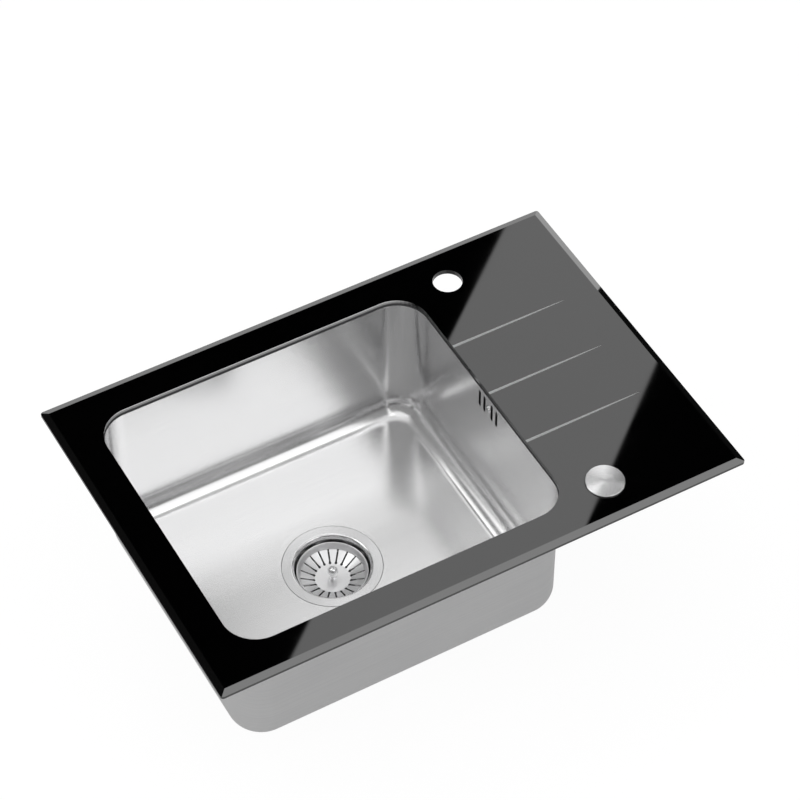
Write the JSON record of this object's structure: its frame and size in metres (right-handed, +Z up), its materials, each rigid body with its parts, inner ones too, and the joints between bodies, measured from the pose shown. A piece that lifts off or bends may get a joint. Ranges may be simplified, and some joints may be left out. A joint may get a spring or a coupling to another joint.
{
  "type": "glass kitchen sink",
  "caption": "Inset kitchen sink: bevelled black glass plate with drainer grooves, one pressed steel bowl, overflow, and a strainer waste lifted by a push button.",
  "frame": {"origin": "centre of the glass plate, in the plane of the worktop under the rim seal", "axes": "+X along the plate from the bowl to the drainer, +Y from the front to the back, +Z up"},
  "size_m": [0.65, 0.446, 0.2861],
  "materials": {
    "black_glass": "polished, enamelled black behind",
    "bowl_steel": "satin",
    "cup_steel": "fine satin",
    "button_steel": "turned satin",
    "bright_steel": "polished",
    "seal_rubber": "matt",
    "black_plastic": "moulded",
    "white_plastic": "moulded",
    "brass": "turned"
  },
  "bodies": {
    "sink": {"glass_top": "black_glass", "rim_seal": "seal_rubber", "bowl": "bowl_steel", "bowl_bond": "seal_rubber", "sound_pads": "seal_rubber", "overflow_gasket": "seal_rubber", "overflow_housing": "black_plastic", "overflow_screw": "bright_steel", "strainer_cup": "cup_steel", "cup_gasket": "seal_rubber", "body_gasket": "seal_rubber", "waste_body": "white_plastic", "clamp_screw": "bright_steel", "rocker_gland": "black_plastic", "cable_anchor": "brass", "button_sleeve": "black_plastic", "button_washer": "seal_rubber", "button_nut": "black_plastic", "button_cartridge": "white_plastic"},
    "button": {"button_cap": "button_steel", "button_stem": "black_plastic"},
    "rocker": {"lift_rocker": "bright_steel"},
    "pin": {"lift_pin": "bright_steel"},
    "basket": {"basket": "cup_steel", "basket_stem": "bright_steel", "basket_plug": "seal_rubber", "basket_nut": "bright_steel"}
  },
  "joints": [
    {"name": "button_push", "type": "slide", "parent": "sink", "child": "button", "axis": [0, 0, 1], "range_m": [0, 0.008]},
    {"name": "rocker_turn", "type": "hinge", "parent": "sink", "child": "rocker", "pos_m": [-0.097, 0, -0.23683], "axis": [0, -1, 0], "range_deg": [0, 20]},
    {"name": "pin_lift", "type": "slide", "parent": "sink", "child": "pin", "axis": [0, 0, 1], "range_m": [0, 0.00754]},
    {"name": "basket_out", "type": "slide", "parent": "pin", "child": "basket", "axis": [0, 0, 1], "range_m": [0, 0.24]}
  ],
  "couplings": [
    {"joint": "rocker_turn", "follows": "button_push", "rad_per_m": 43.633},
    {"joint": "pin_lift", "follows": "button_push", "ratio": 0.9425}
  ]
}
